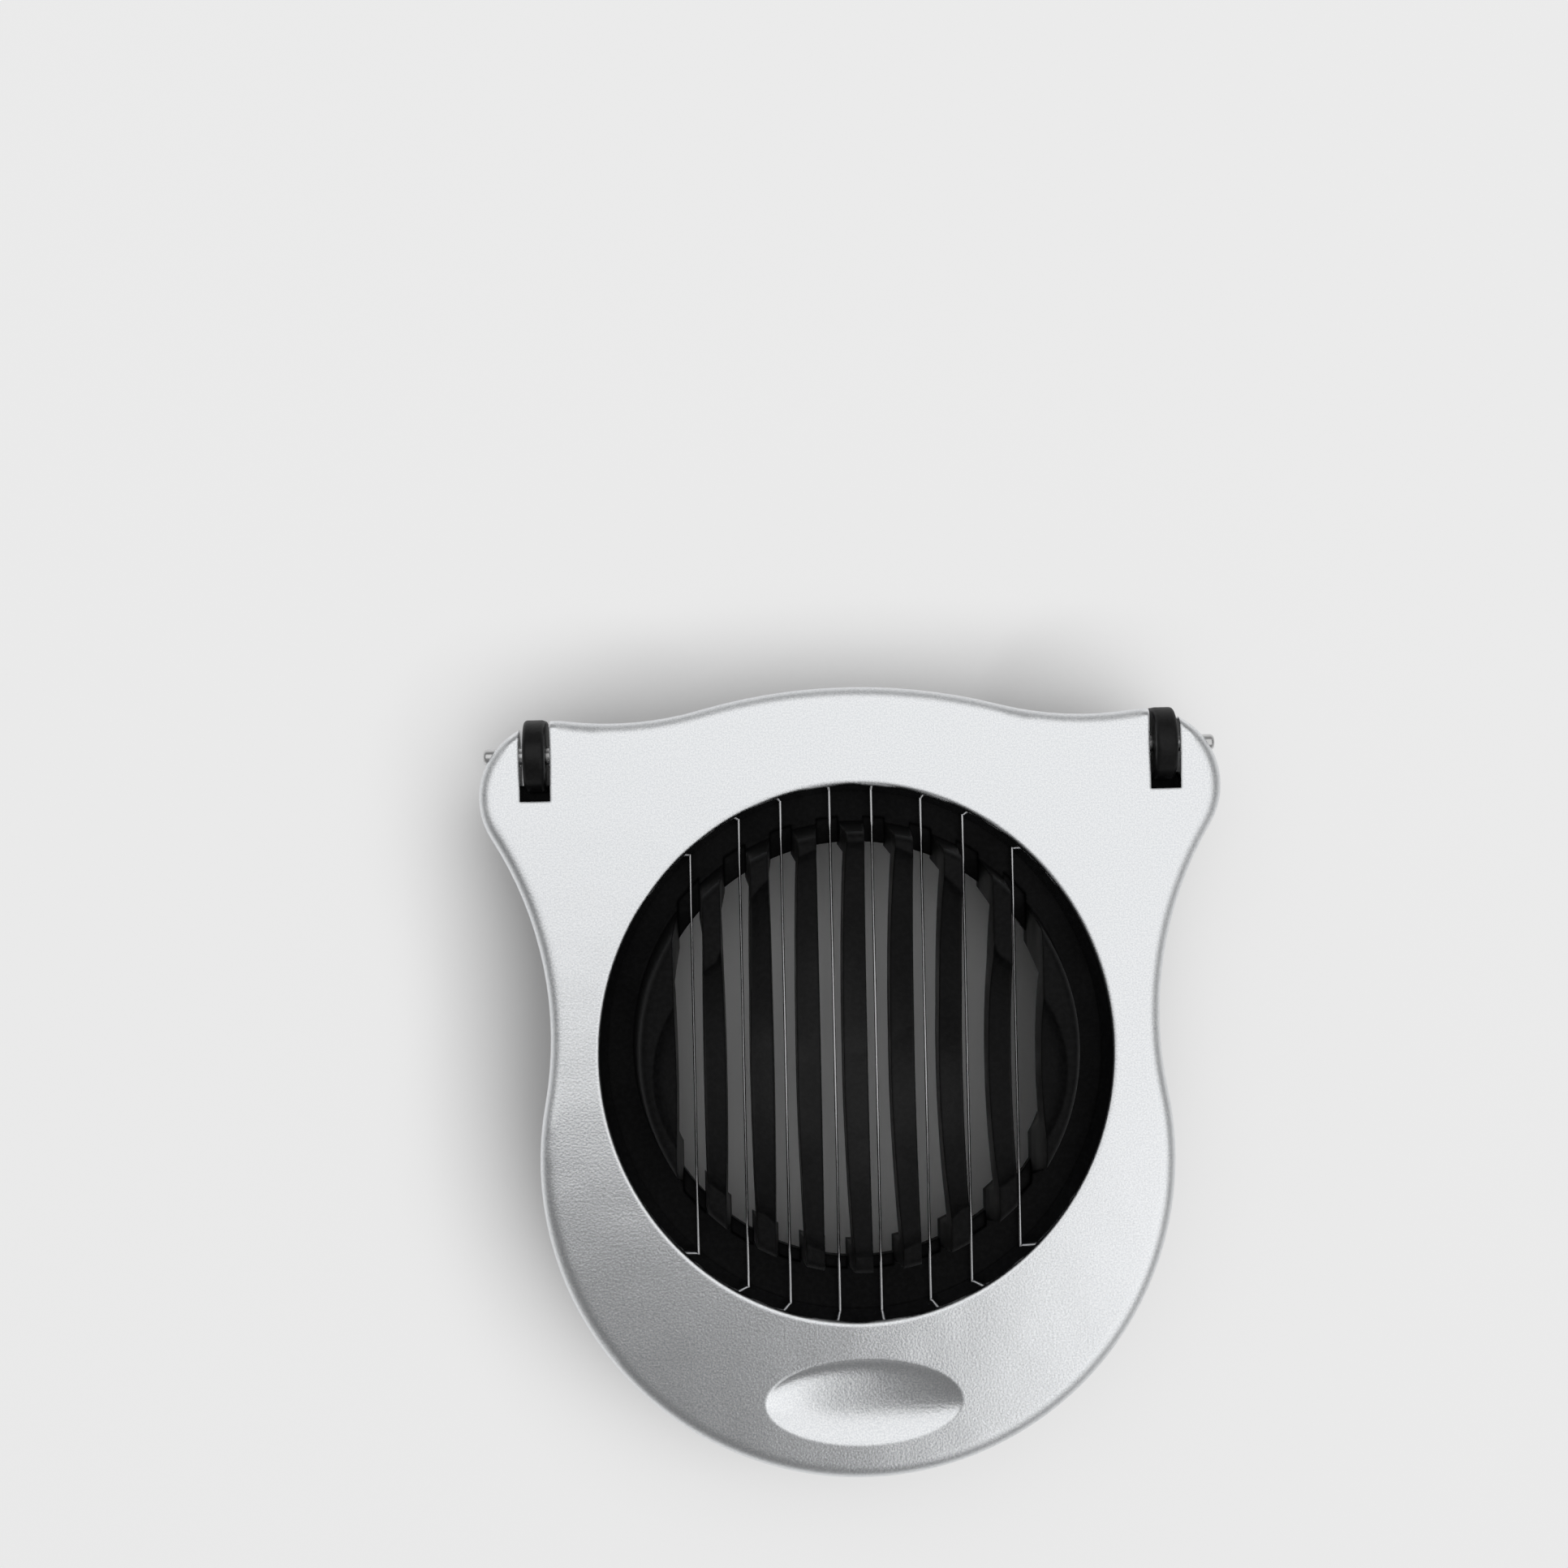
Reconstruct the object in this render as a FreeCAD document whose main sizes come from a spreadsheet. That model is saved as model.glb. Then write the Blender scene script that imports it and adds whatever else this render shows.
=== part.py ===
import FreeCAD, Part
import math
import os
import Sketcher

# Egg slicer: a cast frame strung with cutting wires, hinged on a moulded base with a ribbed egg cradle.
# X runs across the wires, the hinge is at the +Y end, the thumb rest at the -Y end, +Z is up.
# The origin is the middle of the footprint, on the surface that the base stands on.

Vector = FreeCAD.Vector
Rotation = FreeCAD.Rotation

UP = Vector(0, 0, 1)
ALONG_X = Rotation(Vector(0, 1, 0), 90)
ALONG_Y = Rotation(Vector(1, 0, 0), -90)
WIRE_COUNT = 8
# Lengths closer than this count as equal
TOLERANCE = 1e-3

# Driving dimensions: millimetres, and degrees for the draft
SIZES = {
    # Outline shared by frame and base
    "overall_length": 97.9,
    "overall_width": 92,
    "hump_radius": 71,
    "dip_radius": 42,
    "shoulder_radius": 9.5,
    "shoulder_from_rear": 12.9,
    "flank_radius": 46,
    "front_radius": 39.4,
    # Cast frame
    "frame_thickness": 4.8,
    "frame_lift": 0.2,
    "frame_edge_radius": 1.3,
    "opening_width": 63.4,
    "opening_length": 66.4,
    "opening_from_front": 52.6,
    "opening_draft": 8.9,
    "opening_edge_radius": 0.5,
    "thumb_length": 24.3,
    "thumb_width": 10.6,
    "thumb_depth": 2,
    "thumb_rise": 1.5,
    "thumb_from_front": 9.6,
    # Wire channel under the frame
    "channel_wall": 1.6,
    "channel_width": 4.5,
    "channel_depth": 2.6,
    # Cutting wires and their ferrules
    "wire_diameter": 0.35,
    "wire_depth": 3.9,
    "wire_wide_pitch": 6.15,
    "wire_narrow_pitch": 5.22,
    "wire_clearance": 0.1,
    "wire_tail": 0.4,
    "ferrule_diameter": 1.4,
    "ferrule_length": 1.8,
    "ferrule_clearance": 0.05,
    # Hinge
    "hinge_inset": 7,
    "hinge_from_rear": 7.75,
    "slot_width": 3.75,
    "slot_reach": 5.6,
    "pin_diameter": 2,
    "pin_grip": 4,
    "pin_outer_grip": 4.6,
    "pin_end_radius": 0.5,
    "pin_clearance": 0.05,
    "knuckle_width": 2.7,
    "knuckle_radius": 4.5,
    "knuckle_edge_radius": 0.5,
    "arm_foot": 4,
    # Moulded base
    "base_height": 15,
    "base_wall": 2.4,
    "base_inset": 0.3,
    "rear_setback": 3.6,
    "rear_corner_radius": 3.5,
    # Egg cradle
    "cradle_height": 12.5,
    "cradle_shift": 0.9,
    "cradle_foot_diameter": 55.5,
    "cradle_top_diameter": 53.2,
    "cradle_edge_radius": 1.1,
    "cradle_wall": 2.8,
    "bowl_thickness": 3.6,
    "rib_pitch": 5.85,
    "gap_foot_width": 2.75,
    "gap_top_width": 3.7,
    "gap_circle_diameter": 52.2,
    "gap_step_diameter": 56.8,
    "gap_step_depth": 0.8,
    "egg_length": 58,
    "egg_width": 44,
    "egg_floor": 1.6,
    "egg_along_shift": 1.3,
    "egg_across_shift": 1.6,
    # How far cutters reach past the solid
    "cutter_margin": 0.5,
}

# Places worked out from the driving dimensions
REAR_Y = "(Sizes.overall_length / 2)"
FRONT_Y = "(-Sizes.overall_length / 2)"
OPENING_Y = f"({FRONT_Y} + Sizes.opening_from_front)"
HINGE_X = "(Sizes.overall_width / 2 - Sizes.hinge_inset)"
HINGE_Y = f"({REAR_Y} - Sizes.hinge_from_rear)"
THUMB_Y = f"({FRONT_Y} + Sizes.thumb_from_front)"
SHOULDER_X = "(Sizes.overall_width / 2 - Sizes.shoulder_radius)"
SHOULDER_Y = f"({REAR_Y} - Sizes.shoulder_from_rear)"
FRAME_BOTTOM = "(Sizes.base_height + Sizes.frame_lift)"
FRAME_TOP = f"({FRAME_BOTTOM} + Sizes.frame_thickness)"
HINGE_Z = f"({FRAME_BOTTOM} + Sizes.frame_thickness / 2)"
WIRE_Z = f"({FRAME_TOP} - Sizes.wire_depth)"
CRADLE_TOP = "(Sizes.base_height + Sizes.cradle_height)"
CRADLE_Y = f"({OPENING_Y} + Sizes.cradle_shift)"
DECK_BOTTOM = "(Sizes.base_height - Sizes.base_wall)"
GAP_SLOPE = "((Sizes.gap_top_width - Sizes.gap_foot_width) / Sizes.cradle_height)"
GAP_BELOW_DECK = "(Sizes.base_wall + Sizes.cutter_margin)"
GAP_HEIGHT = "(Sizes.cradle_height + Sizes.cutter_margin)"
BASE_REAR_Y = f"({HINGE_Y} - Sizes.rear_setback)"
DRAFT_INSET = "(Sizes.frame_thickness * tan(Sizes.opening_draft * 1deg))"
WALL_RADIUS_X = f"(Sizes.opening_width / 2 - {DRAFT_INSET} + Sizes.channel_wall)"
WALL_RADIUS_Y = f"(Sizes.opening_length / 2 - {DRAFT_INSET} + Sizes.channel_wall)"
PIN_LENGTH = "(Sizes.pin_grip + Sizes.slot_width + Sizes.pin_outer_grip)"
PIN_INNER_X = f"({HINGE_X} - Sizes.slot_width / 2 - Sizes.pin_grip)"
PIN_START = {"Left": f"(-{PIN_INNER_X} - {PIN_LENGTH})", "Right": PIN_INNER_X}

doc = FreeCAD.newDocument("EggSlicer")
sheet = doc.addObject("Spreadsheet::Sheet", "Sizes")
for row, (alias, size) in enumerate(SIZES.items(), start=1):
    sheet.set(f"A{row}", alias)
    sheet.set(f"B{row}", str(size))
    sheet.setAlias(f"B{row}", alias)
doc.recompute()


def number(expression):
    """The present value of an expression on the sheet."""
    return float(sheet.evalExpression(expression))


def bind(item, **expressions):
    """Tie an object's properties to the sheet; a double underscore stands for a dot."""
    for name, expression in expressions.items():
        item.setExpression(name.replace("__", "."), expression)


def bind_base(item, x="0", y="0", z="0"):
    """Tie an object's position to the sheet."""
    bind(item, Placement__Base__x=x, Placement__Base__y=y, Placement__Base__z=z)


def origin_plane(body, role):
    for plane in body.Origin.OriginFeatures:
        if plane.Role == role:
            return plane
    raise ValueError(role)


def new_sketch(body, name, role="XY_Plane", offset="0"):
    """An empty sketch on one of the body's origin planes, moved along the plane's normal."""
    sketch = body.newObject("Sketcher::SketchObject", name)
    sketch.AttachmentSupport = [(origin_plane(body, role), "")]
    sketch.MapMode = "FlatFace"
    bind(sketch, AttachmentOffset__Base__z=offset)
    return sketch


def dimension(sketch, expression, kind, *places):
    """A dimension of a sketch that follows the sheet."""
    index = sketch.addConstraint(Sketcher.Constraint(kind, *places, number(expression)))
    sketch.setExpression(f"Constraints[{index}]", expression)


def touching_centre(first, first_distance, second, second_distance, side):
    """The point at given distances from two others, right (1) or left (-1) of the way between them."""
    span = second - first
    along = (first_distance ** 2 - second_distance ** 2 + span.Length ** 2) / (2 * span.Length)
    across = math.sqrt(first_distance ** 2 - along ** 2)
    direction = span / span.Length
    sideways = Vector(direction.y, -direction.x, 0)
    return first + direction * along + sideways * across * side


def arc_between(centre, radius, start, end):
    """An arc that runs counter-clockwise from the direction of one point to that of another."""
    first = math.atan2(start.y - centre.y, start.x - centre.x)
    last = math.atan2(end.y - centre.y, end.x - centre.x)
    return Part.ArcOfCircle(Part.Circle(centre, UP, radius), first, last)


def mirrored(point):
    return Vector(-point.x, point.y, 0)


def outline_sketch(body, name, offset, inset):
    """The violin-shaped outline of eight tangent arcs, shrunk inwards by the inset."""
    sketch = new_sketch(body, name, offset=offset)
    hump_radius = number("Sizes.hump_radius")
    dip_radius = number("Sizes.dip_radius")
    shoulder_radius = number("Sizes.shoulder_radius")
    flank_radius = number("Sizes.flank_radius")
    front_radius = number("Sizes.front_radius")
    shrink = number(inset)
    hump = Vector(0, number(REAR_Y) - hump_radius, 0)
    front = Vector(0, number(FRONT_Y) + front_radius, 0)
    shoulder = Vector(number(SHOULDER_X), number(SHOULDER_Y), 0)
    right, left = 1, -1
    flank = touching_centre(
        front, front_radius + flank_radius, shoulder, shoulder_radius + flank_radius, right)
    dip = touching_centre(
        hump, hump_radius + dip_radius, shoulder, shoulder_radius + dip_radius, left)

    hump_to_dip = hump + (dip - hump) * hump_radius / (hump_radius + dip_radius)
    dip_to_shoulder = shoulder + (dip - shoulder) * shoulder_radius / (shoulder_radius + dip_radius)
    shoulder_to_flank = shoulder + (flank - shoulder) * shoulder_radius / (shoulder_radius + flank_radius)
    flank_to_front = front + (flank - front) * front_radius / (front_radius + flank_radius)

    # Counter-clockwise from the hump: hollow arcs are drawn the other way round
    arcs = [
        arc_between(hump, hump_radius - shrink, hump_to_dip, mirrored(hump_to_dip)),
        arc_between(mirrored(dip), dip_radius + shrink, mirrored(dip_to_shoulder), mirrored(hump_to_dip)),
        arc_between(mirrored(shoulder), shoulder_radius - shrink,
                    mirrored(dip_to_shoulder), mirrored(shoulder_to_flank)),
        arc_between(mirrored(flank), flank_radius + shrink,
                    mirrored(flank_to_front), mirrored(shoulder_to_flank)),
        arc_between(front, front_radius - shrink, mirrored(flank_to_front), flank_to_front),
        arc_between(flank, flank_radius + shrink, shoulder_to_flank, flank_to_front),
        arc_between(shoulder, shoulder_radius - shrink, shoulder_to_flank, dip_to_shoulder),
        arc_between(dip, dip_radius + shrink, hump_to_dip, dip_to_shoulder),
    ]
    hollow_arcs = (1, 3, 5, 7)
    start, end, centre = 1, 2, 3
    y_axis = -2
    sketch.addGeometry(arcs, False)
    for index in range(len(arcs)):
        following = (index + 1) % len(arcs)
        leaves_by = start if index in hollow_arcs else end
        enters_by = end if following in hollow_arcs else start
        sketch.addConstraint(Sketcher.Constraint("Tangent", index, leaves_by, following, enters_by))
    for left_arc, right_arc in ((1, 7), (2, 6), (3, 5)):
        sketch.addConstraint(Sketcher.Constraint("Equal", left_arc, right_arc))
    sketch.addConstraint(Sketcher.Constraint("Symmetric", 2, centre, 6, centre, y_axis))
    sketch.addConstraint(Sketcher.Constraint("PointOnObject", 0, centre, y_axis))
    sketch.addConstraint(Sketcher.Constraint("PointOnObject", 4, centre, y_axis))
    dimension(sketch, f"Sizes.hump_radius - {inset}", "Radius", 0)
    dimension(sketch, f"Sizes.front_radius - {inset}", "Radius", 4)
    dimension(sketch, f"Sizes.flank_radius + {inset}", "Radius", 5)
    dimension(sketch, f"Sizes.shoulder_radius - {inset}", "Radius", 6)
    dimension(sketch, f"Sizes.dip_radius + {inset}", "Radius", 7)
    dimension(sketch, f"{REAR_Y} - Sizes.hump_radius", "DistanceY", -1, 1, 0, centre)
    dimension(sketch, f"{FRONT_Y} + Sizes.front_radius", "DistanceY", -1, 1, 4, centre)
    dimension(sketch, SHOULDER_X, "DistanceX", -1, 1, 6, centre)
    dimension(sketch, SHOULDER_Y, "DistanceY", -1, 1, 6, centre)
    return sketch


def ellipse_sketch(body, name, offset, *radii):
    """Ellipses about the middle of the frame's opening, each given by its radii along X and Y."""
    sketch = new_sketch(body, name, offset=offset)
    centre = Vector(0, number(OPENING_Y), 0)
    for radius_x, radius_y in radii:
        long_end = centre + Vector(0, number(radius_y), 0)
        short_end = centre + Vector(number(radius_x), 0, 0)
        index = sketch.addGeometry(Part.Ellipse(long_end, short_end, centre), False)
        sketch.exposeInternalGeometry(index)
        major, minor = index + 1, index + 2
        sketch.addConstraint(Sketcher.Constraint("Vertical", major))
        sketch.addConstraint(Sketcher.Constraint("PointOnObject", index, 3, -2))
        dimension(sketch, OPENING_Y, "DistanceY", -1, 1, index, 3)
        dimension(sketch, f"2 * {radius_y}", "Distance", major, 1, major, 2)
        dimension(sketch, f"2 * {radius_x}", "Distance", minor, 1, minor, 2)
    return sketch


def edges_where(shape, wanted):
    """Names of the edges of a shape that pass a test."""
    return [f"Edge{index}" for index, edge in enumerate(shape.Edges, start=1) if wanted(edge)]


def lies_at_height(edge, height):
    box = edge.BoundBox
    return abs(box.ZMin - height) < TOLERANCE and abs(box.ZMax - height) < TOLERANCE


def is_opening_edge(edge):
    """The upper edge of the frame's opening."""
    centre = Vector(0, number(OPENING_Y), number(FRAME_TOP))
    return lies_at_height(edge, centre.z) and (edge.BoundBox.Center - centre).Length < TOLERANCE


def wire_x(index):
    """Place of a wire across the frame: close pairs and wide pairs take turns."""
    steps = index - (WIRE_COUNT - 1) / 2
    side = "-" if steps < 0 else ""
    from_middle = int(abs(steps) - 0.5)
    wide = (from_middle + 1) // 2
    narrow = from_middle // 2
    return f"({side}(Sizes.wire_narrow_pitch * {narrow + 0.5} + Sizes.wire_wide_pitch * {wide}))"


def wall_reach(x, grow):
    """Distance along Y from the opening's middle to an ellipse just outside the opening's wall."""
    return f"(({WALL_RADIUS_Y} + {grow}) * sqrt(1 - ({x} / ({WALL_RADIUS_X} + {grow})) ^ 2))"


def ferrule_seat(x):
    """Where a ferrule stops behind the wall, clear of the wall on its inner side."""
    nearest = f"(abs({x}) - Sizes.ferrule_diameter / 2)"
    return f"({wall_reach(nearest, 0)} + Sizes.ferrule_clearance)"


def make_frame():
    """Cast frame: outline plate, drafted opening, thumb rest, hinge slots and wire channel."""
    body = doc.addObject("PartDesign::Body", "SlicerFrame")
    body.Label = "slicer_frame"
    outline = outline_sketch(body, "FrameOutline", FRAME_BOTTOM, "0")
    plate = body.newObject("PartDesign::Pad", "FramePlate")
    plate.Profile = outline
    bind(plate, Length="Sizes.frame_thickness")
    doc.recompute()

    rim = body.newObject("PartDesign::Fillet", "FrameRim")
    rim.Base = (plate, edges_where(plate.Shape, lambda edge: lies_at_height(edge, number(FRAME_TOP))))
    bind(rim, Radius="Sizes.frame_edge_radius")

    upper = ("Sizes.opening_width / 2", "Sizes.opening_length / 2")
    lower = (f"(Sizes.opening_width / 2 - {DRAFT_INSET})", f"(Sizes.opening_length / 2 - {DRAFT_INSET})")
    opening = body.newObject("PartDesign::SubtractiveLoft", "Opening")
    opening.Profile = ellipse_sketch(body, "OpeningTop", FRAME_TOP, upper)
    opening.Sections = [ellipse_sketch(body, "OpeningBottom", FRAME_BOTTOM, lower)]
    opening.Ruled = True
    doc.recompute()

    edge_round = body.newObject("PartDesign::Fillet", "OpeningEdge")
    edge_round.Base = (opening, edges_where(opening.Shape, is_opening_edge))
    bind(edge_round, Radius="Sizes.opening_edge_radius")

    thumb = body.newObject("PartDesign::SubtractiveEllipsoid", "ThumbRest")
    thumb_height = "(Sizes.thumb_rise + Sizes.thumb_depth)"
    spread = f"sqrt(1 - (Sizes.thumb_rise / {thumb_height}) ^ 2)"
    bind(thumb, Radius1=thumb_height, Radius2=f"Sizes.thumb_length / 2 / {spread}",
         Radius3=f"Sizes.thumb_width / 2 / {spread}")
    bind_base(thumb, y=THUMB_Y, z=f"{FRAME_TOP} + Sizes.thumb_rise")

    channel = body.newObject("PartDesign::Pocket", "WireChannel")
    inner = (WALL_RADIUS_X, WALL_RADIUS_Y)
    outer = (f"({WALL_RADIUS_X} + Sizes.channel_width)", f"({WALL_RADIUS_Y} + Sizes.channel_width)")
    channel.Profile = ellipse_sketch(body, "ChannelRing", FRAME_BOTTOM, inner, outer)
    channel.Reversed = True
    bind(channel, Length="Sizes.channel_depth")

    for index in range(WIRE_COUNT):
        notch = body.newObject("PartDesign::SubtractiveBox", f"WireNotch{index + 1}")
        reach = wall_reach(wire_x(index), "Sizes.channel_width / 2")
        width = "(Sizes.wire_diameter + 2 * Sizes.wire_clearance)"
        depth = f"({WIRE_Z} + {width} / 2 - {FRAME_BOTTOM})"
        bind(notch, Length=width, Width=f"2 * {reach}", Height=depth)
        bind_base(notch, x=f"{wire_x(index)} - {width} / 2", y=f"{OPENING_Y} - {reach}", z=FRAME_BOTTOM)

    for name, side in (("Left", "-"), ("Right", "")):
        slot = body.newObject("PartDesign::SubtractiveBox", f"HingeSlot{name}")
        bind(slot, Length="Sizes.slot_width", Width="Sizes.slot_reach + Sizes.hinge_from_rear",
             Height="Sizes.frame_thickness")
        bind_base(slot, x=f"{side}{HINGE_X} - Sizes.slot_width / 2",
                  y=f"{HINGE_Y} - Sizes.slot_reach", z=FRAME_BOTTOM)
        bore = body.newObject("PartDesign::SubtractiveCylinder", f"PinHole{name}")
        bore.Placement.Rotation = ALONG_X
        bind(bore, Radius="Sizes.pin_diameter / 2", Height=PIN_LENGTH)
        bind_base(bore, x=PIN_START[name], y=HINGE_Y, z=HINGE_Z)
    return body


def make_pin(name):
    """Steel hinge pin with rounded ends, pressed into the frame across one slot."""
    rod = doc.addObject("Part::Cylinder", f"PinRod{name}")
    rod.Placement.Rotation = ALONG_X
    bind(rod, Radius="Sizes.pin_diameter / 2", Height=PIN_LENGTH)
    bind_base(rod, x=PIN_START[name], y=HINGE_Y, z=HINGE_Z)
    doc.recompute()
    pin = doc.addObject("Part::Fillet", f"Pin{name}")
    pin.Label = f"hinge_pin_{name.lower()}"
    pin.Base = rod
    radius = number("Sizes.pin_end_radius")
    ends = [index for index, edge in enumerate(rod.Shape.Edges, start=1) if edge.isClosed()
            and edge.BoundBox.XLength < radius]
    pin.Edges = [(index, radius, radius) for index in ends]
    return pin


def make_wire(index):
    """One taut cutting wire, from the back of one ferrule to the back of the other."""
    wire = doc.addObject("Part::Cylinder", f"Wire{index + 1}")
    wire.Label = f"cutting_wire_{index + 1}"
    wire.Placement.Rotation = ALONG_Y
    reach = f"({ferrule_seat(wire_x(index))} + Sizes.ferrule_length + Sizes.wire_tail)"
    bind(wire, Radius="Sizes.wire_diameter / 2", Height=f"2 * {reach}")
    bind_base(wire, x=wire_x(index), y=f"{OPENING_Y} - {reach}", z=WIRE_Z)
    return wire


def make_ferrules(name, starts_at):
    """The eight crimped ferrules at one end of the wires."""
    ferrules = []
    for index in range(WIRE_COUNT):
        solids = []
        for kind, radius in (("Sleeve", "Sizes.ferrule_diameter / 2"), ("Bore", "Sizes.wire_diameter / 2")):
            rod = doc.addObject("Part::Cylinder", f"{name}{kind}{index + 1}")
            rod.Placement.Rotation = ALONG_Y
            bind(rod, Radius=radius, Height="Sizes.ferrule_length")
            bind_base(rod, x=wire_x(index), y=starts_at(index), z=WIRE_Z)
            solids.append(rod)
        ferrule = doc.addObject("Part::Cut", f"{name}Ferrule{index + 1}")
        ferrule.Base, ferrule.Tool = solids
        ferrules.append(ferrule)
    group = doc.addObject("Part::Compound", f"{name}Ferrules")
    group.Label = f"{name.lower()}_wire_ferrules"
    group.Links = ferrules
    return group


def is_rear_corner(edge):
    """An upright edge of the base's cut-off rear face."""
    box = edge.BoundBox
    return box.ZLength > number("Sizes.base_height") / 2 and abs(box.YMin - number(BASE_REAR_Y)) < TOLERANCE


def is_knuckle_edge(edge):
    """A round edge of a knuckle."""
    curve = edge.Curve
    return isinstance(curve, Part.Circle) and abs(curve.Radius - number("Sizes.knuckle_radius")) < TOLERANCE


def make_shell():
    """Hollow base: outline block cut off in front of the hinge, shelled from below, with two hinge arms."""
    body = doc.addObject("PartDesign::Body", "BaseShell")
    outline = outline_sketch(body, "BaseOutline", "0", "Sizes.base_inset")
    block = body.newObject("PartDesign::Pad", "BaseBlock")
    block.Profile = outline
    bind(block, Length="Sizes.base_height")
    rear = body.newObject("PartDesign::SubtractiveBox", "RearCut")
    bind(rear, Length="Sizes.overall_width", Width="Sizes.rear_setback + Sizes.hinge_from_rear",
         Height="Sizes.base_height")
    bind_base(rear, x="-Sizes.overall_width / 2", y=BASE_REAR_Y)
    doc.recompute()

    corners = body.newObject("PartDesign::Fillet", "RearCorners")
    corners.Base = (rear, edges_where(rear.Shape, is_rear_corner))
    bind(corners, Radius="Sizes.rear_corner_radius")
    doc.recompute()

    shell = body.newObject("PartDesign::Thickness", "BaseSkirt")
    underside = [f"Face{index}" for index, face in enumerate(corners.Shape.Faces, start=1)
                 if face.BoundBox.ZMax < TOLERANCE]
    shell.Base = (corners, underside)
    shell.Reversed = True
    shell.Join = 1
    bind(shell, Value="Sizes.base_wall")
    doc.recompute()

    arm = body.newObject("PartDesign::Pad", "HingeArm")
    arm.Profile = arm_sketch(body)
    bind(arm, Length="Sizes.knuckle_width")
    doc.recompute()
    other = body.newObject("PartDesign::Mirrored", "OtherHingeArm")
    other.Originals = [arm]
    other.MirrorPlane = (origin_plane(body, "YZ_Plane"), [""])
    body.Tip = other
    doc.recompute()
    rounded = body.newObject("PartDesign::Fillet", "KnuckleEdges")
    rounded.Base = (other, edges_where(other.Shape, is_knuckle_edge))
    bind(rounded, Radius="Sizes.knuckle_edge_radius")
    doc.recompute()

    bore = body.newObject("PartDesign::SubtractiveCylinder", "KnuckleBore")
    bore.Placement.Rotation = ALONG_X
    bind(bore, Radius="Sizes.pin_diameter / 2 + Sizes.pin_clearance", Height="Sizes.overall_width")
    bind_base(bore, x="-Sizes.overall_width / 2", y=HINGE_Y, z=HINGE_Z)
    body.Tip = bore
    doc.recompute()
    return body


def arm_sketch(body):
    """Side view of a hinge arm: a round knuckle on a bracket that runs down the rear wall."""
    sketch = new_sketch(body, "ArmSide", role="YZ_Plane",
                        offset=f"{HINGE_X} - Sizes.knuckle_width / 2")
    wall_middle = f"({BASE_REAR_Y} - Sizes.base_wall / 2)"
    deck_middle = "(Sizes.base_height - Sizes.base_wall / 2)"
    knuckle_front = f"({HINGE_Y} - Sizes.knuckle_radius)"
    knuckle_rear = f"({HINGE_Y} + Sizes.knuckle_radius)"
    corners = [
        (knuckle_front, HINGE_Z),
        (knuckle_front, deck_middle),
        (wall_middle, deck_middle),
        (wall_middle, "Sizes.arm_foot"),
        (knuckle_rear, deck_middle),
        (knuckle_rear, HINGE_Z),
    ]
    points = [Vector(number(y), number(z), 0) for y, z in corners]
    centre = Vector(number(HINGE_Y), number(HINGE_Z), 0)
    lines = [Part.LineSegment(first, second) for first, second in zip(points, points[1:])]
    sketch.addGeometry(lines, False)
    knuckle = sketch.addGeometry(
        Part.ArcOfCircle(Part.Circle(centre, UP, number("Sizes.knuckle_radius")), 0, math.pi), False)
    for index in range(len(lines) - 1):
        sketch.addConstraint(Sketcher.Constraint("Coincident", index, 2, index + 1, 1))
    sketch.addConstraint(Sketcher.Constraint("Coincident", len(lines) - 1, 2, knuckle, 1))
    sketch.addConstraint(Sketcher.Constraint("Coincident", 0, 1, knuckle, 2))
    for index, (y, z) in enumerate(corners[1:-1], start=1):
        dimension(sketch, y, "DistanceX", -1, 1, index, 1)
        dimension(sketch, z, "DistanceY", -1, 1, index, 1)
    dimension(sketch, HINGE_Y, "DistanceX", -1, 1, knuckle, 3)
    dimension(sketch, HINGE_Z, "DistanceY", -1, 1, knuckle, 3)
    dimension(sketch, "Sizes.knuckle_radius", "Radius", knuckle)
    for end in (1, 2):
        sketch.addConstraint(Sketcher.Constraint("Horizontal", knuckle, end, knuckle, 3))
    return sketch


def gap_disc(name, diameter, y, bottom, height):
    """An upright disc that bounds the gaps between the ribs."""
    disc = doc.addObject("Part::Cylinder", name)
    bind(disc, Radius=f"{diameter} / 2", Height=height)
    bind_base(disc, y=y, z=bottom)
    return disc


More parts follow.
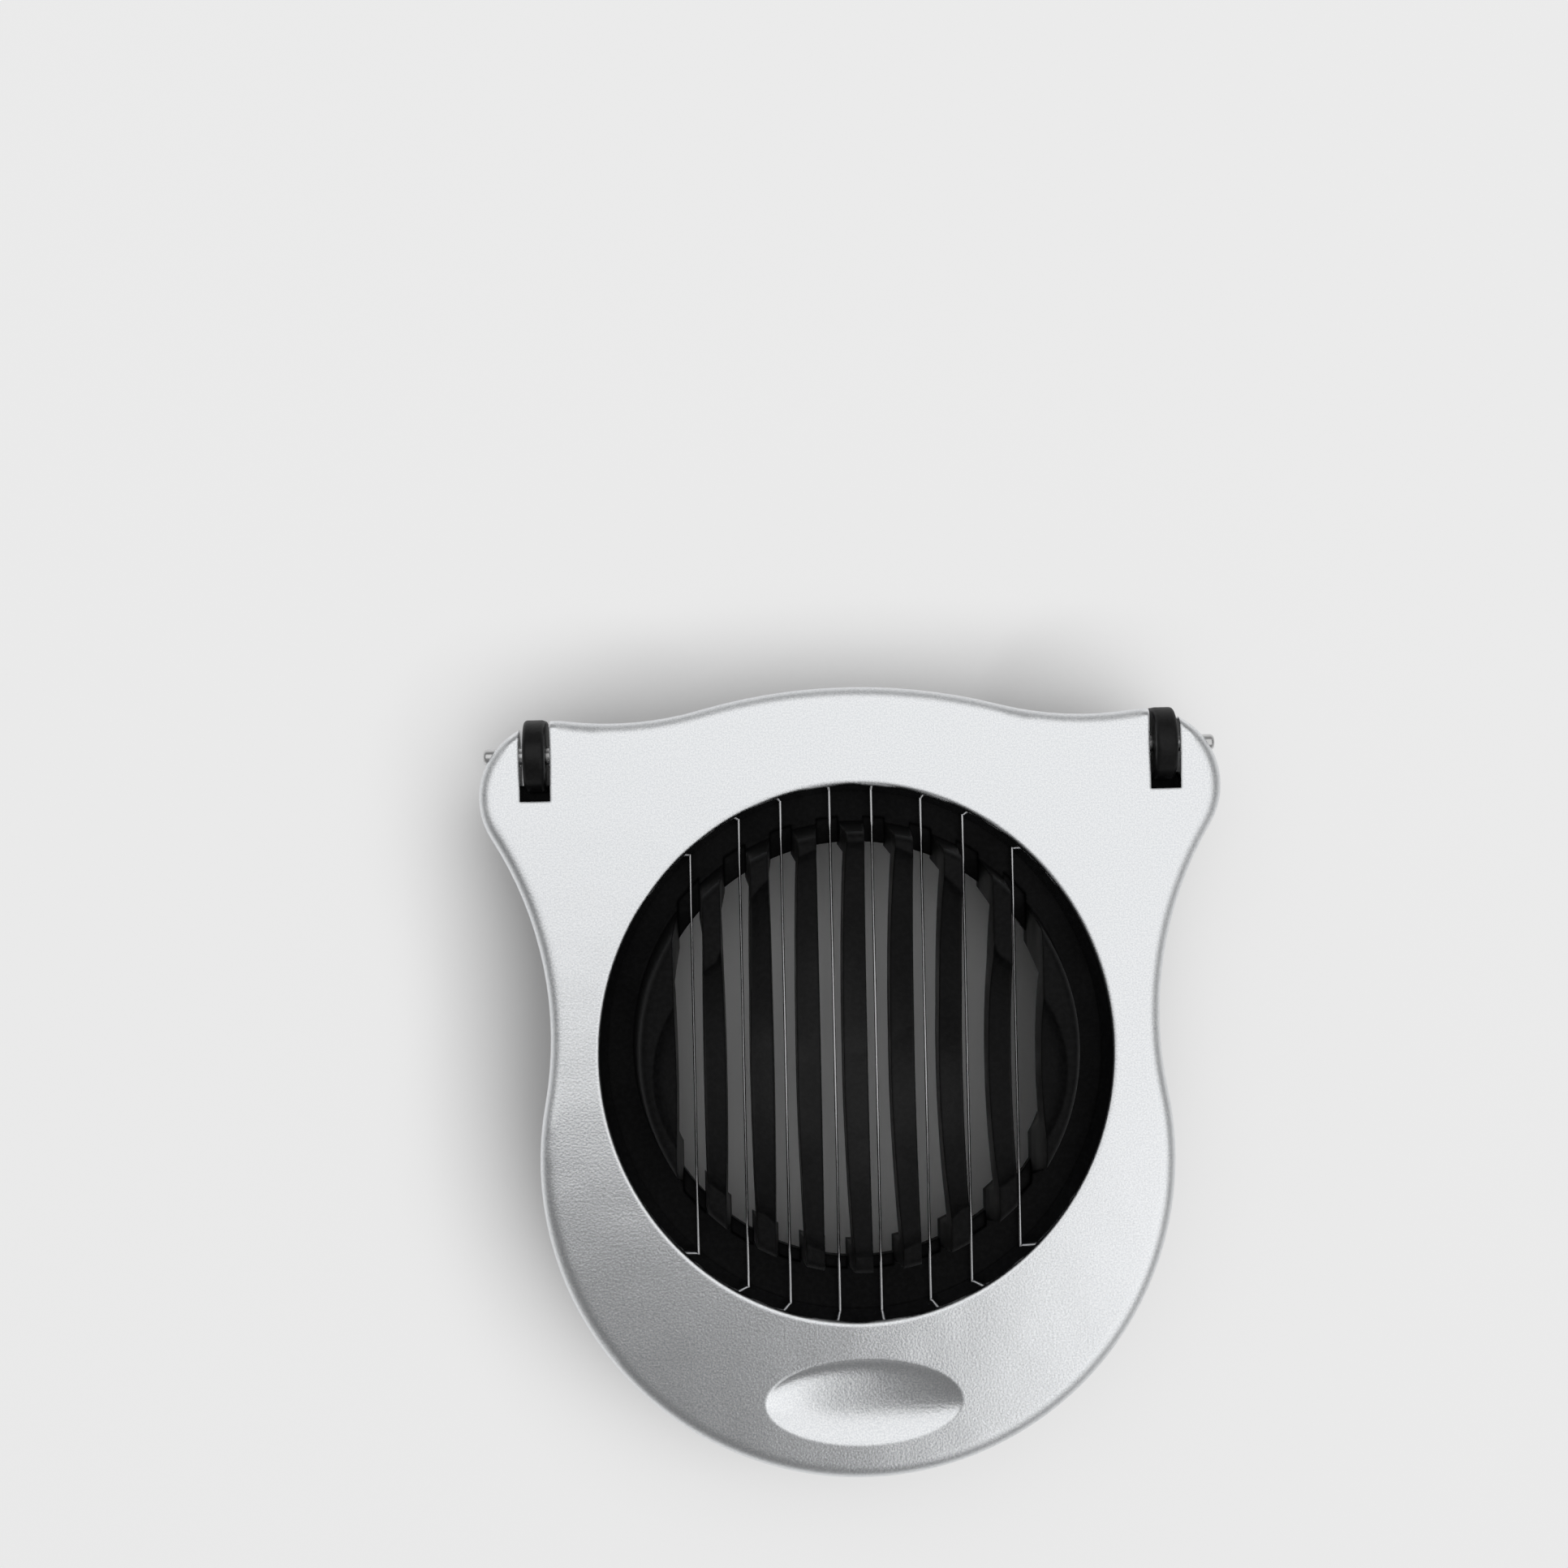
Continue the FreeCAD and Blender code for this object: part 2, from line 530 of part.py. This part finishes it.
def make_gap_cutter():
    """The eight drafted gaps between the ribs: stepped into the deck, and through it with rounded ends."""
    wedges = []
    bottom = f"((Sizes.gap_foot_width - {GAP_SLOPE} * {GAP_BELOW_DECK}) / 2)"
    top = f"((Sizes.gap_top_width + {GAP_SLOPE} * Sizes.cutter_margin) / 2)"
    reach = "Sizes.gap_step_diameter"
    for index in range(WIRE_COUNT):
        wedge = doc.addObject("Part::Wedge", f"RibGap{index + 1}")
        wedge.Placement.Rotation = Rotation(Vector(1, 0, 0), 90)
        bind(wedge, Xmin=f"-{bottom}", Xmax=bottom, X2min=f"-{top}", X2max=top,
             Ymin=f"-{GAP_BELOW_DECK}", Ymax=GAP_HEIGHT,
             Zmin=f"-{reach}", Zmax=reach, Z2min=f"-{reach}", Z2max=reach)
        from_middle = index - (WIRE_COUNT - 1) / 2
        bind_base(wedge, x=f"Sizes.rib_pitch * {from_middle}", y=OPENING_Y, z="Sizes.base_height")
        wedges.append(wedge)
    gaps = doc.addObject("Part::Compound", "RibGaps")
    gaps.Links = wedges
    discs = doc.addObject("Part::Fuse", "GapDiscs")
    discs.Base = gap_disc("ThroughDisc", "Sizes.gap_circle_diameter", OPENING_Y,
                          f"Sizes.base_height - {GAP_BELOW_DECK}", GAP_BELOW_DECK)
    discs.Tool = gap_disc("StepDisc", "Sizes.gap_step_diameter", CRADLE_Y,
                          "Sizes.base_height - Sizes.gap_step_depth", f"Sizes.gap_step_depth + {GAP_HEIGHT}")
    rounded = doc.addObject("Part::Common", "RoundedGaps")
    rounded.Base = gaps
    rounded.Tool = discs
    return rounded


def make_eggs(name, grow):
    """Egg shapes lying across the wires and along them, larger than the egg by a thickness all round."""
    eggs = []
    across_y = f"{OPENING_Y} - Sizes.egg_across_shift"
    along_y = f"{OPENING_Y} + Sizes.egg_along_shift"
    for way, size_x, size_y, y in (("Across", "length", "width", across_y),
                                   ("Along", "width", "length", along_y)):
        egg = doc.addObject("Part::Ellipsoid", f"{name}{way}")
        bind(egg, Radius1=f"Sizes.egg_width / 2 + {grow}", Radius2=f"Sizes.egg_{size_x} / 2 + {grow}",
             Radius3=f"Sizes.egg_{size_y} / 2 + {grow}")
        bind_base(egg, y=y, z="Sizes.base_height + Sizes.egg_floor + Sizes.egg_width / 2")
        eggs.append(egg)
    return eggs


def cradle_cone(name, inset, bottom, top):
    """A cone inside the cradle's outer wall by the inset, between two heights."""
    cone = doc.addObject("Part::Cone", name)
    bind(cone, Radius1=f"Sizes.cradle_foot_diameter / 2 - {inset}",
         Radius2=f"Sizes.cradle_top_diameter / 2 - {inset}", Height=f"{top} - {bottom}")
    bind_base(cone, y=CRADLE_Y, z=bottom)
    doc.recompute()
    return cone


def make_cradle_block():
    """The cradle before it is cut, with its upper edge rounded."""
    cone = cradle_cone("CradleBlock", "0", "Sizes.base_height", CRADLE_TOP)
    edge_radius = number("Sizes.cradle_edge_radius")
    block = doc.addObject("Part::Fillet", "RoundedCradleBlock")
    block.Base = cone
    block.Edges = [(index, edge_radius, edge_radius) for index, edge in enumerate(cone.Shape.Edges, start=1)
                   if lies_at_height(edge, number(CRADLE_TOP))]
    return block


def make_underside_cutter():
    """The space below the cradle, which leaves each rib as an arch of even thickness."""
    space = cradle_cone("CradleSpace", "Sizes.cradle_wall",
                        f"({DECK_BOTTOM} - Sizes.cutter_margin)", f"({CRADLE_TOP} - Sizes.cradle_wall)")
    bowl = doc.addObject("Part::MultiFuse", "CradleBowl")
    bowl.Shapes = make_eggs("Bowl", "Sizes.bowl_thickness")
    cutter = doc.addObject("Part::Cut", "UndersideSpace")
    cutter.Base = space
    cutter.Tool = bowl
    return cutter


def make_base():
    """Moulded base: hollow shell with the ribbed egg cradle standing on its deck."""
    solid = doc.addObject("Part::Fuse", "ShellAndCradle")
    solid.Base = make_shell()
    solid.Tool = make_cradle_block()
    hollowed = doc.addObject("Part::Cut", "HollowedCradle")
    hollowed.Base = solid
    hollowed.Tool = make_underside_cutter()
    eggs = doc.addObject("Part::MultiFuse", "EggHollows")
    eggs.Shapes = make_eggs("Egg", "0")
    cradle = doc.addObject("Part::Cut", "CradleWithHollows")
    cradle.Base = hollowed
    cradle.Tool = eggs
    base = doc.addObject("Part::Cut", "EggBase")
    base.Label = "egg_base"
    base.Base = cradle
    base.Tool = make_gap_cutter()
    return base


def rear_ferrule_y(index):
    return f"({OPENING_Y} + {ferrule_seat(wire_x(index))})"


def front_ferrule_y(index):
    return f"({OPENING_Y} - {ferrule_seat(wire_x(index))} - Sizes.ferrule_length)"


def check_document():
    """Stop if any object of the document failed to build."""
    for item in doc.Objects:
        if "Invalid" in item.State or "Error" in item.State:
            raise RuntimeError(f"{item.Name} failed: {item.State}")


def write_parts(parts):
    os.makedirs("parts", exist_ok=True)
    for part in parts:
        if part.Shape.isNull() or not part.Shape.isValid():
            raise RuntimeError(f"{part.Label} has no valid shape")
    for part in parts:
        part.Shape.exportStep(f"parts/{part.Label}.step")
        print(part.Label, len(part.Shape.Solids), round(part.Shape.Volume, 2))


parts = [make_frame(), make_base(), make_pin("Left"), make_pin("Right")]
parts += [make_wire(index) for index in range(WIRE_COUNT)]
parts += [make_ferrules("Rear", rear_ferrule_y), make_ferrules("Front", front_ferrule_y)]
doc.recompute()
check_document()
write_parts(parts)
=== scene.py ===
import math

import bpy
from mathutils import Matrix, Vector

# Egg slicer seen from above on a pale floor, under two soft lights
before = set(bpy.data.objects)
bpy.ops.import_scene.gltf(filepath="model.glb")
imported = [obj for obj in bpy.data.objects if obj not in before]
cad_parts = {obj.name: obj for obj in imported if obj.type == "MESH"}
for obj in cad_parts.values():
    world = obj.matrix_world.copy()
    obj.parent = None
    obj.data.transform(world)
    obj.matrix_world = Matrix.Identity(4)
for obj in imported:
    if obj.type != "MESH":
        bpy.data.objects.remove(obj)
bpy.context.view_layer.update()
scene = bpy.context.scene
scene.view_settings.view_transform = "Standard"

MM = 0.001
WHITE = (1, 1, 1, 1)

# Egg cradle: its middle, which is also that of the frame's opening, and the heights of deck and cradle rim
CRADLE_PLACE = (0, 3.65 * MM, 0)
DECK_TOP = 15 * MM
DECK_FADE = 1 * MM
CRADLE_RIM = 27.3 * MM
CRADLE_RIM_FADE = 1.5 * MM

# Thumb rest: middle, reach along X and Y, how much its slopes are softened, and where that fades out
THUMB_PLACE = (0, -39.35 * MM, 0)
THUMB_REACH = (13 * MM, 6.2 * MM)
THUMB_SOFTENING = 0.42
THUMB_FADE = (1, 1.1)

# Edges of the frame: softened widely along the outer rim, little around the opening, slots and thumb rest
RIM_SOFTENING = 1.7 * MM
EDGE_SOFTENING = 0.5 * MM
EDGE_SAMPLES = 6
OPENING_REACH = (33.2 * MM, 34.7 * MM)
SLOT_PLACE = (39 * MM, 39.5 * MM, 0)
SLOT_REACH = (3.2 * MM, 7.2 * MM)

# Places with crisp edges: middle, reach, and where the wide softening begins and is full, in that reach
CRISP_PLACES = (
    (CRADLE_PLACE, OPENING_REACH, (1, 1.05)),
    (SLOT_PLACE, SLOT_REACH, (1, 1.25)),
    (THUMB_PLACE, THUMB_REACH, (1.05, 1.25)),
)

# Range that holds most values of a noise, and range of upward shares between a wall and a flat top
NOISE_SPAN = (0.3, 0.7)
WALL_TO_TOP = (0.1, 0.6)

# Camera fitted to the photo: lengths in millimetres, picture and focal length in pixels, turns in degrees
SENSOR = 36.0
PHOTO_PX = 1932
FOCAL_PX = 3034.1
CAMERA_PLACE = (-14.507, 37.021, 323.713)
CAMERA_TURNS = ((-1.238, "Z"), (0.045, "X"), (-1.170, "Y"))
CLIP_START = 10 * MM

# Soft lights above the floor: place, width, depth (metres) and power (watts)
SOFTBOXES = {
    "overhead": ((0, 0.32, 0.82), 1.2, 0.87, 2.55),
    "right_fill": ((0.38, -0.31, 0.82), 0.61, 0.54, 0.91),
}

# The room is darker overhead than at the horizon
WORLD_OVERHEAD = 0.2
WORLD_HORIZON = 0.42
WORLD_FADE = (0.15, 0.75)

# Floor: half of its side in metres, and the share of plain white in it, in the open and below the cradle
FLOOR_HALF = 6
FLOOR_COLOUR = (0.92, 0.92, 0.92, 1)
FLOOR_ROUGHNESS = 0.7
OPEN_WHITE = 0.66
CRADLE_WHITE = 0.03
CRADLE_SHADE = (31 * MM, 34 * MM)

# Painted shadow on the floor, added to the real one from the lamps: how far it reaches from the part, and
# where the light that it lacks comes from
SHADOW_REACH = 24 * MM
SHADOW_LIGHT = (0.6, -0.5, 1)
SHADOW_SPAN = (0.3, 0.95)


def new_material(name):
    """An empty node material with a Principled shader joined to its output."""
    material = bpy.data.materials.new(name)
    material.use_nodes = True
    tree = material.node_tree
    tree.nodes.clear()
    output = tree.nodes.new("ShaderNodeOutputMaterial")
    shader = tree.nodes.new("ShaderNodeBsdfPrincipled")
    tree.links.new(shader.outputs["BSDF"], output.inputs["Surface"])
    return material, tree, shader


def noise(tree, scale, detail, stretch=(1, 1, 1)):
    """Noise in the object's own space, stretched along its axes."""
    place = tree.nodes.new("ShaderNodeTexCoord")
    mapping = tree.nodes.new("ShaderNodeMapping")
    mapping.inputs["Scale"].default_value = stretch
    texture = tree.nodes.new("ShaderNodeTexNoise")
    texture.inputs["Scale"].default_value = scale
    texture.inputs["Detail"].default_value = detail
    tree.links.new(place.outputs["Object"], mapping.inputs["Vector"])
    tree.links.new(mapping.outputs["Vector"], texture.inputs["Vector"])
    return texture.outputs["Fac"]


def remap(tree, source, source_low, source_high, low, high):
    """A value carried smoothly from one range to another."""
    node = tree.nodes.new("ShaderNodeMapRange")
    node.interpolation_type = "SMOOTHSTEP"
    node.inputs["From Min"].default_value = source_low
    node.inputs["From Max"].default_value = source_high
    node.inputs["To Min"].default_value = low
    node.inputs["To Max"].default_value = high
    tree.links.new(source, node.inputs["Value"])
    return node.outputs["Result"]


def multiply(tree, first, second):
    """The product of two values."""
    node = tree.nodes.new("ShaderNodeMath")
    node.operation = "MULTIPLY"
    tree.links.new(first, node.inputs[0])
    tree.links.new(second, node.inputs[1])
    return node.outputs[0]


def blend(tree, factor, first, second):
    """A colour between two others."""
    node = tree.nodes.new("ShaderNodeMix")
    node.data_type = "RGBA"
    colour_a, colour_b = [socket for socket in node.inputs if socket.type == "RGBA"]
    colour_a.default_value = (*first, 1)
    colour_b.default_value = (*second, 1)
    tree.links.new(factor, node.inputs["Factor"])
    return [socket for socket in node.outputs if socket.type == "RGBA"][0]


def feed(tree, socket, value):
    """Set a socket to a plain value, or join it to the result of another node."""
    if isinstance(value, bpy.types.NodeSocket):
        tree.links.new(value, socket)
    else:
        socket.default_value = value


def bump(tree, height, strength, distance, below=None):
    """A relief; it lies on top of another normal when one is given."""
    node = tree.nodes.new("ShaderNodeBump")
    feed(tree, node.inputs["Strength"], strength)
    node.inputs["Distance"].default_value = distance
    tree.links.new(height, node.inputs["Height"])
    if below is not None:
        tree.links.new(below, node.inputs["Normal"])
    return node.outputs["Normal"]


def soft_edges(tree, radius):
    """Normals that round off sharp edges; the radius is a number or the result of a node."""
    node = tree.nodes.new("ShaderNodeBevel")
    node.samples = EDGE_SAMPLES
    feed(tree, node.inputs["Radius"], radius)
    return node.outputs["Normal"]


def upward_share(tree, direction="Normal"):
    """How far a direction points up or down: 1 on flat tops, 0 on upright walls."""
    place = tree.nodes.new("ShaderNodeTexCoord")
    parts = tree.nodes.new("ShaderNodeSeparateXYZ")
    size = tree.nodes.new("ShaderNodeMath")
    size.operation = "ABSOLUTE"
    tree.links.new(place.outputs[direction], parts.inputs["Vector"])
    tree.links.new(parts.outputs["Z"], size.inputs[0])
    return size.outputs[0]


def height_above_floor(tree):
    """Height in the piece's own space, which is the height above the floor for the base."""
    place = tree.nodes.new("ShaderNodeTexCoord")
    parts = tree.nodes.new("ShaderNodeSeparateXYZ")
    tree.links.new(place.outputs["Object"], parts.inputs["Vector"])
    return parts.outputs["Z"]


def turned(tree, normal, source, target):
    """A normal carried from one space into another."""
    node = tree.nodes.new("ShaderNodeVectorTransform")
    node.vector_type = "NORMAL"
    node.convert_from = source
    node.convert_to = target
    tree.links.new(normal, node.inputs["Vector"])
    return node.outputs["Vector"]


def reach_from(tree, place, reach):
    """Distance from a place in the frame, counted in its reach along X and Y, alike on left and right."""
    position = tree.nodes.new("ShaderNodeTexCoord").outputs["Object"]
    mirrored = tree.nodes.new("ShaderNodeVectorMath")
    mirrored.operation = "MULTIPLY"
    mirrored.inputs[1].default_value = (-1, 1, 1)
    folded = tree.nodes.new("ShaderNodeVectorMath")
    folded.operation = "MAXIMUM"
    spread = tree.nodes.new("ShaderNodeMapping")
    spread.vector_type = "TEXTURE"
    spread.inputs["Location"].default_value = place
    spread.inputs["Scale"].default_value = (*reach, 1)
    length = tree.nodes.new("ShaderNodeVectorMath")
    length.operation = "LENGTH"
    tree.links.new(position, mirrored.inputs[0])
    tree.links.new(position, folded.inputs[0])
    tree.links.new(mirrored.outputs["Vector"], folded.inputs[1])
    tree.links.new(folded.outputs["Vector"], spread.inputs["Vector"])
    tree.links.new(spread.outputs["Vector"], length.inputs[0])
    return length.outputs["Value"]


def rim_radius(tree):
    """Radius of the frame's softened edges: wide along the outer rim, narrow at the crisp places."""
    opening, slots, thumb_rest = [
        remap(tree, reach_from(tree, place, reach), *fade, low=0, high=1)
        for place, reach, fade in CRISP_PLACES
    ]
    rim_share = multiply(tree, multiply(tree, opening, slots), thumb_rest)
    return remap(tree, rim_share, 0, 1, EDGE_SOFTENING, RIM_SOFTENING)


def thumb_rest_normal(tree, normal):
    """The normal, with gentler slopes inside the thumb rest, also when the frame is open."""
    slope = tree.nodes.new("ShaderNodeCombineXYZ")
    slope.inputs["Z"].default_value = 1
    scaled = tree.nodes.new("ShaderNodeVectorMath")
    scaled.operation = "MULTIPLY"
    unit = tree.nodes.new("ShaderNodeVectorMath")
    unit.operation = "NORMALIZE"
    share = remap(tree, reach_from(tree, THUMB_PLACE, THUMB_REACH), *THUMB_FADE, THUMB_SOFTENING, 1)
    tree.links.new(share, slope.inputs["X"])
    tree.links.new(share, slope.inputs["Y"])
    tree.links.new(turned(tree, normal, "WORLD", "OBJECT"), scaled.inputs[0])
    tree.links.new(slope.outputs["Vector"], scaled.inputs[1])
    tree.links.new(scaled.outputs["Vector"], unit.inputs[0])
    return turned(tree, unit.outputs["Vector"], "OBJECT", "WORLD")


def cast_relief(tree):
    """Normals of the casting: soft edges, slight waves, grain that is weaker on walls, faint hairlines."""
    rounded = thumb_rest_normal(tree, soft_edges(tree, rim_radius(tree)))
    waves = noise(tree, scale=110, detail=1)
    wavy = bump(tree, waves, strength=0.2, distance=0.3 * MM, below=rounded)
    grain_strength = remap(tree, upward_share(tree), *WALL_TO_TOP, low=0.06, high=0.4)
    grain = noise(tree, scale=3200, detail=4)
    grainy = bump(tree, grain, grain_strength, distance=0.03 * MM, below=wavy)
    streaks = noise(tree, scale=60, detail=2, stretch=(90, 3, 3))
    hairlines = remap(tree, streaks, source_low=0.62, source_high=0.72, low=0, high=1)
    return bump(tree, hairlines, strength=0.06, distance=0.01 * MM, below=grainy)


def satin_cast_metal():
    """Chromed casting: satin on its flat faces, polished on its rims and walls."""
    dark_grey = (0.75, 0.768, 0.79)
    light_grey = (0.875, 0.888, 0.9)
    material, tree, shader = new_material("satin_cast_metal")
    shader.inputs["Metallic"].default_value = 1
    dots = noise(tree, scale=5200, detail=2)
    speckle = remap(tree, dots, source_low=0.35, source_high=0.65, low=0, high=1)
    tree.links.new(blend(tree, speckle, dark_grey, light_grey), shader.inputs["Base Color"])
    satin = remap(tree, noise(tree, scale=2600, detail=4), *NOISE_SPAN, low=0.185, high=0.225)
    polish = remap(tree, upward_share(tree), *WALL_TO_TOP, low=0.4, high=1)
    tree.links.new(multiply(tree, satin, polish), shader.inputs["Roughness"])
    tree.links.new(cast_relief(tree), shader.inputs["Normal"])
    return material


def plastic_gloss(tree):
    """Specular level of the plastic: dull on the deck and the cradle's rim, glossier between them."""
    height = height_above_floor(tree)
    above_deck = remap(tree, height, DECK_TOP, DECK_TOP + DECK_FADE, low=0.25, high=1)
    below_rim = remap(tree, height, CRADLE_RIM - CRADLE_RIM_FADE, CRADLE_RIM, low=0.24, high=0.09)
    return multiply(tree, above_deck, below_rim)


def black_plastic():
    """Moulded black plastic with a fine spark-eroded texture, softened edges and slightly rubbed patches."""
    black = (0.003, 0.003, 0.0032)
    dark_grey = (0.0065, 0.0065, 0.0068)
    edge_radius = 0.45 * MM
    material, tree, shader = new_material("black_plastic")
    dots = noise(tree, scale=1600, detail=4)
    speckle = remap(tree, dots, source_low=0.35, source_high=0.7, low=0, high=1)
    tree.links.new(blend(tree, speckle, black, dark_grey), shader.inputs["Base Color"])
    tree.links.new(plastic_gloss(tree), shader.inputs["Specular IOR Level"])
    rubbing = remap(tree, noise(tree, scale=120, detail=4), *NOISE_SPAN, low=0.36, high=0.52)
    tree.links.new(rubbing, shader.inputs["Roughness"])
    texture = noise(tree, scale=2400, detail=3)
    relief = bump(tree, texture, strength=0.45, distance=0.06 * MM, below=soft_edges(tree, edge_radius))
    tree.links.new(relief, shader.inputs["Normal"])
    return material


def drawn_steel(name, light, rough, stretch):
    """Bright steel with fine lines that run along the piece."""
    dark_share = 0.82
    dark = tuple(dark_share * channel for channel in light)
    material, tree, shader = new_material(name)
    shader.inputs["Metallic"].default_value = 1
    lines = noise(tree, scale=900, detail=4, stretch=stretch)
    shine = remap(tree, lines, *NOISE_SPAN, low=0, high=1)
    tree.links.new(blend(tree, shine, dark, light), shader.inputs["Base Color"])
    roughness = remap(tree, lines, *NOISE_SPAN, low=0.75 * rough, high=1.25 * rough)
    tree.links.new(roughness, shader.inputs["Roughness"])
    tree.links.new(bump(tree, lines, strength=0.08, distance=0.01 * MM), shader.inputs["Normal"])
    return material


def dress(node, material):
    """Give a node one material."""
    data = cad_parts[node].data
    data.materials.clear()
    data.materials.append(material)


def dress_all():
    """Give every node its material."""
    dress("slicer_frame", satin_cast_metal())
    dress("egg_base", black_plastic())
    wire_steel = drawn_steel("wire_steel", light=(0.62, 0.62, 0.63), rough=0.24, stretch=(6, 0.2, 6))
    pin_steel = drawn_steel("pin_steel", light=(0.70, 0.70, 0.70), rough=0.28, stretch=(0.3, 3, 3))
    ferrule_steel = drawn_steel("ferrule_steel", light=(0.55, 0.55, 0.54), rough=0.35, stretch=(3, 0.5, 3))
    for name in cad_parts:
        if name.startswith("cutting_wire"):
            dress(name, wire_steel)
        elif name.startswith("hinge_pin"):
            dress(name, pin_steel)
        elif name.endswith("ferrules"):
            dress(name, ferrule_steel)


def seen_directly_or_mirrored(tree):
    """1 for what the camera sees, also in a mirror or through glass, and 0 for light that falls on things."""
    light_path = tree.nodes.new("ShaderNodeLightPath")
    seen = light_path.outputs["Is Camera Ray"]
    for ray in ("Is Glossy Ray", "Is Transmission Ray"):
        either = tree.nodes.new("ShaderNodeMath")
        either.operation = "MAXIMUM"
        tree.links.new(seen, either.inputs[0])
        tree.links.new(light_path.outputs[ray], either.inputs[1])
        seen = either.outputs[0]
    return seen


def outside_painted_shadow(tree):
    """Share of the floor outside the painted shadow, from an occlusion test towards the light: 0 close beside
    the part, 1 away from it.
    """
    direction = tree.nodes.new("ShaderNodeCombineXYZ")
    for socket, share in zip(direction.inputs, Vector(SHADOW_LIGHT).normalized()):
        socket.default_value = share
    shade = tree.nodes.new("ShaderNodeAmbientOcclusion")
    shade.inputs["Distance"].default_value = SHADOW_REACH
    tree.links.new(direction.outputs["Vector"], shade.inputs["Normal"])
    return remap(tree, shade.outputs["AO"], *SHADOW_SPAN, low=0, high=1)


def floor_whitening(tree):
    """Share of plain white that the camera sees in the floor, less in the painted shadow beside the part and
    below the cradle.
    """
    place = tree.nodes.new("ShaderNodeNewGeometry")
    distance = tree.nodes.new("ShaderNodeVectorMath")
    distance.operation = "DISTANCE"
    distance.inputs[1].default_value = CRADLE_PLACE
    tree.links.new(place.outputs["Position"], distance.inputs[0])
    open_floor = remap(tree, distance.outputs["Value"], *CRADLE_SHADE, CRADLE_WHITE, OPEN_WHITE)
    # Painted shadow: less plain white close beside the part, where the occlusion test finds the part
    white_outside_painted_shadow = multiply(tree, open_floor, outside_painted_shadow(tree))
    return multiply(tree, white_outside_painted_shadow, seen_directly_or_mirrored(tree))


def floor_material():
    """Pale floor that the camera sees partly as plain white, with a painted shadow beside the part."""
    material, tree, shader = new_material("pale_floor")
    shader.inputs["Base Color"].default_value = FLOOR_COLOUR
    shader.inputs["Roughness"].default_value = FLOOR_ROUGHNESS
    white = tree.nodes.new("ShaderNodeEmission")
    white.inputs["Color"].default_value = WHITE
    mix = tree.nodes.new("ShaderNodeMixShader")
    tree.links.new(floor_whitening(tree), mix.inputs["Fac"])
    tree.links.new(shader.outputs["BSDF"], mix.inputs[1])
    tree.links.new(white.outputs["Emission"], mix.inputs[2])
    tree.links.new(mix.outputs["Shader"], tree.nodes["Material Output"].inputs["Surface"])
    return material


def add_floor():
    """A square floor under the part."""
    half = FLOOR_HALF
    mesh = bpy.data.meshes.new("floor")
    corners = [(-half, -half, 0), (half, -half, 0), (half, half, 0), (-half, half, 0)]
    mesh.from_pydata(corners, [], [(0, 1, 2, 3)])
    mesh.materials.append(floor_material())
    floor = bpy.data.objects.new("floor", mesh)
    scene.collection.objects.link(floor)


def add_softbox(name, place, width, depth, power):
    """A rectangular light that shines straight down."""
    light = bpy.data.lights.new(name, "AREA")
    light.shape = "RECTANGLE"
    light.size = width
    light.size_y = depth
    light.energy = power
    lamp = bpy.data.objects.new(name, light)
    lamp.location = place
    scene.collection.objects.link(lamp)


def add_world():
    """A plain white room, dimmed overhead."""
    world = bpy.data.worlds.new("studio")
    scene.world = world
    world.use_nodes = True
    tree = world.node_tree
    background = tree.nodes["Background"]
    background.inputs["Color"].default_value = WHITE
    strength = remap(tree, upward_share(tree, "Generated"), *WORLD_FADE, WORLD_HORIZON, WORLD_OVERHEAD)
    tree.links.new(strength, background.inputs["Strength"])


def add_camera():
    """The camera that took the photo, as far as it could be fitted."""
    camera = bpy.data.cameras.new("photo_camera")
    camera.sensor_width = SENSOR
    camera.sensor_fit = "HORIZONTAL"
    camera.lens = FOCAL_PX / PHOTO_PX * SENSOR
    camera.clip_start = CLIP_START
    holder = bpy.data.objects.new("photo_camera", camera)
    turn = Matrix.Identity(4)
    for degrees, axis in CAMERA_TURNS:
        turn = turn @ Matrix.Rotation(math.radians(degrees), 4, axis)
    holder.matrix_world = Matrix.Translation(Vector(CAMERA_PLACE) * MM) @ turn
    scene.collection.objects.link(holder)
    scene.camera = holder


dress_all()
add_floor()
for box_name, box in SOFTBOXES.items():
    add_softbox(box_name, *box)
add_world()
add_camera()
